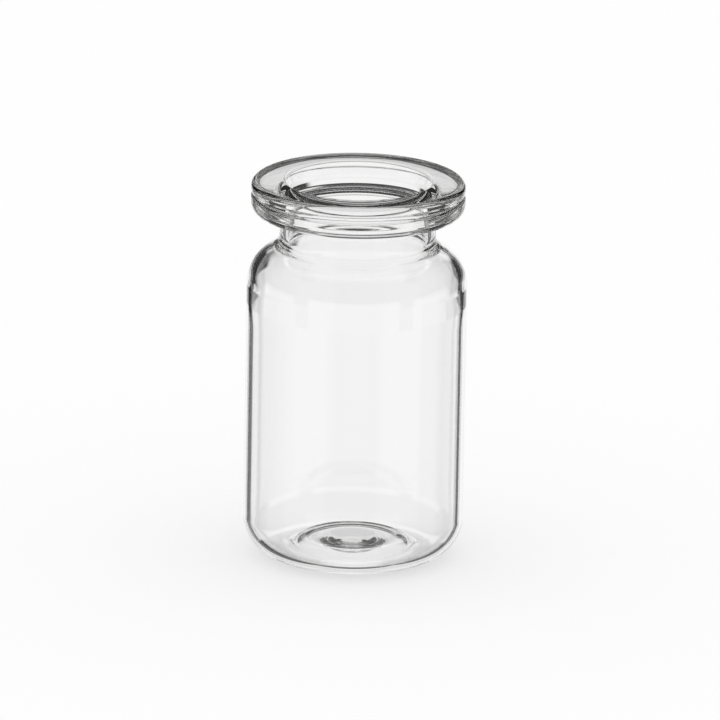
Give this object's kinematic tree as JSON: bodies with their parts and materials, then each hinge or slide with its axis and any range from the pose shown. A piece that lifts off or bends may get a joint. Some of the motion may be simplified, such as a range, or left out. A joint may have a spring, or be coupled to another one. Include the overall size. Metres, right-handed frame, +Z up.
{
  "type": "glass sample vial",
  "caption": "Clear glass sample vial: round straight body, pushed-up base, round shoulder, narrow neck and a thick crimp flange round the open mouth.",
  "frame": {"origin": "on the axis of the vial, at the level of the ring it stands on", "axes": "+Z up along the axis, out of the mouth; X and Y are alike, because the vial is round"},
  "size_m": [0.0206, 0.0206, 0.0363],
  "materials": {
    "clear_glass": "polished colourless tube glass, faint grey-green in thick sections"
  },
  "bodies": {
    "root": {"glass_vial": "clear_glass"}
  },
  "joints": []
}
